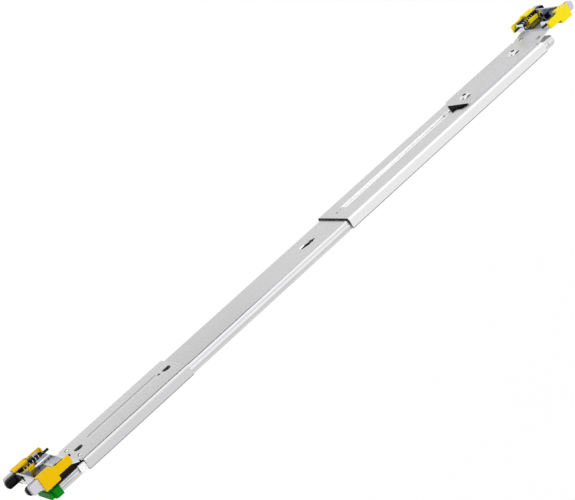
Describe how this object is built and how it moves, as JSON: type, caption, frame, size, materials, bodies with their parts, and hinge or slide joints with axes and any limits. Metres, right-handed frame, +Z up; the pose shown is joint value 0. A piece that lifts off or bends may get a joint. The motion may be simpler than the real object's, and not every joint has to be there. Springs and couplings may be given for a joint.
{
  "type": "server rack slide rail",
  "caption": "Telescoping ball-bearing rack slide rail with tool-free square-hole latches at both ends, a sliding rear bracket and a green release lever.",
  "frame": {"origin": "on the front mounting plane, in the outer face of the rail's web, at mid height", "axes": "+X to the rack's front, +Y inward to the server, +Z up"},
  "size_m": [0.752, 0.0283, 0.0558],
  "materials": {
    "zinc_sheet": "satin zinc plate",
    "rail_steel": "bright zinc plate",
    "frame_zinc": "bright blue-passivated zinc",
    "post_grey": "light grey casting",
    "latch_yellow": "yellow paint, semi-gloss",
    "bolt_dark": "black",
    "spring_steel": "bright wire",
    "green_plastic": "moulded",
    "black_plastic": "moulded",
    "rivet_steel": "bright",
    "ball_steel": "ground",
    "rubber_black": "moulded"
  },
  "bodies": {
    "outer_member": {"outer_rail": "rail_steel", "front_cage_stop": "rail_steel", "depth_slide_pin": "rivet_steel", "rear_stop_tab": "zinc_sheet", "front_bracket": "zinc_sheet", "front_bracket_rivets": "rivet_steel", "front_head_frame": "frame_zinc", "front_clinch_nut": "frame_zinc", "front_upper_post": "post_grey", "front_lower_post": "post_grey", "front_post_screws": "rivet_steel", "front_rail_guide": "black_plastic", "front_upper_latch_spring": "spring_steel", "front_lower_latch_spring": "spring_steel"},
    "front_upper_latch": {"front_upper_latch_cover": "latch_yellow", "front_upper_latch_bolt": "bolt_dark", "front_upper_latch_slider": "latch_yellow"},
    "front_lower_latch": {"front_lower_latch_cover": "latch_yellow", "front_lower_latch_bolt": "bolt_dark", "front_lower_latch_slider": "latch_yellow"},
    "rear_support": {"rear_bracket": "zinc_sheet", "rear_end_plate": "zinc_sheet", "depth_stop": "black_plastic", "rear_plate_rivets": "rivet_steel", "rear_head_frame": "frame_zinc", "rear_clinch_nut": "frame_zinc", "rear_upper_post": "post_grey", "rear_lower_post": "post_grey", "rear_post_screws": "rivet_steel", "rear_upper_latch_spring": "spring_steel", "rear_lower_latch_spring": "spring_steel"},
    "rear_upper_latch": {"rear_upper_latch_cover": "latch_yellow", "rear_upper_latch_bolt": "bolt_dark", "rear_upper_latch_slider": "latch_yellow"},
    "rear_lower_latch": {"rear_lower_latch_cover": "latch_yellow", "rear_lower_latch_bolt": "bolt_dark", "rear_lower_latch_slider": "latch_yellow"},
    "intermediate_member": {"intermediate_rail": "rail_steel", "intermediate_bumper": "rubber_black"},
    "outer_ball_cage": {"outer_cage": "zinc_sheet", "outer_balls": "ball_steel"},
    "chassis_member": {"chassis_rail": "rail_steel", "front_cap": "green_plastic", "release_lever_pin": "rivet_steel", "release_spring": "spring_steel"},
    "inner_ball_cage": {"inner_cage": "zinc_sheet", "inner_balls": "ball_steel"},
    "lever": {"release_lever": "green_plastic"}
  },
  "joints": [
    {"name": "rear_bracket_slide", "type": "slide", "parent": "outer_member", "child": "rear_support", "axis": [-1, 0, 0], "range_m": [0, 0.15]},
    {"name": "front_upper_latch_slide", "type": "slide", "parent": "outer_member", "child": "front_upper_latch", "axis": [-1, 0, 0], "range_m": [0, 0.008], "stiffness_N_per_m": 300, "springref_m": -0.006, "deforming": ["front_upper_latch_spring"]},
    {"name": "front_lower_latch_slide", "type": "slide", "parent": "outer_member", "child": "front_lower_latch", "axis": [-1, 0, 0], "range_m": [0, 0.008], "stiffness_N_per_m": 300, "springref_m": -0.006, "deforming": ["front_lower_latch_spring"]},
    {"name": "rear_upper_latch_slide", "type": "slide", "parent": "rear_support", "child": "rear_upper_latch", "axis": [1, 0, 0], "range_m": [0, 0.008], "stiffness_N_per_m": 300, "springref_m": -0.006, "deforming": ["rear_upper_latch_spring"]},
    {"name": "rear_lower_latch_slide", "type": "slide", "parent": "rear_support", "child": "rear_lower_latch", "axis": [1, 0, 0], "range_m": [0, 0.008], "stiffness_N_per_m": 300, "springref_m": -0.006, "deforming": ["rear_lower_latch_spring"]},
    {"name": "intermediate_slide", "type": "slide", "parent": "outer_member", "child": "intermediate_member", "axis": [1, 0, 0], "range_m": [0, 0.32]},
    {"name": "outer_cage_roll", "type": "slide", "parent": "outer_member", "child": "outer_ball_cage", "axis": [1, 0, 0], "range_m": [0, 0.16]},
    {"name": "chassis_slide", "type": "slide", "parent": "intermediate_member", "child": "chassis_member", "axis": [1, 0, 0], "range_m": [0, 0.32]},
    {"name": "inner_cage_roll", "type": "slide", "parent": "intermediate_member", "child": "inner_ball_cage", "axis": [1, 0, 0], "range_m": [0, 0.16]},
    {"name": "release_lever_pivot", "type": "hinge", "parent": "chassis_member", "child": "lever", "pos_m": [-0.0089, 0.0072, 0.014], "axis": [0, 1, 0], "range_deg": [0, 14], "stiffness_Nm_per_rad": 0.05, "springref_deg": -11.46, "deforming": ["release_spring"]}
  ],
  "couplings": [
    {"joint": "outer_cage_roll", "follows": "intermediate_slide", "ratio": 0.5},
    {"joint": "inner_cage_roll", "follows": "chassis_slide", "ratio": 0.5}
  ]
}
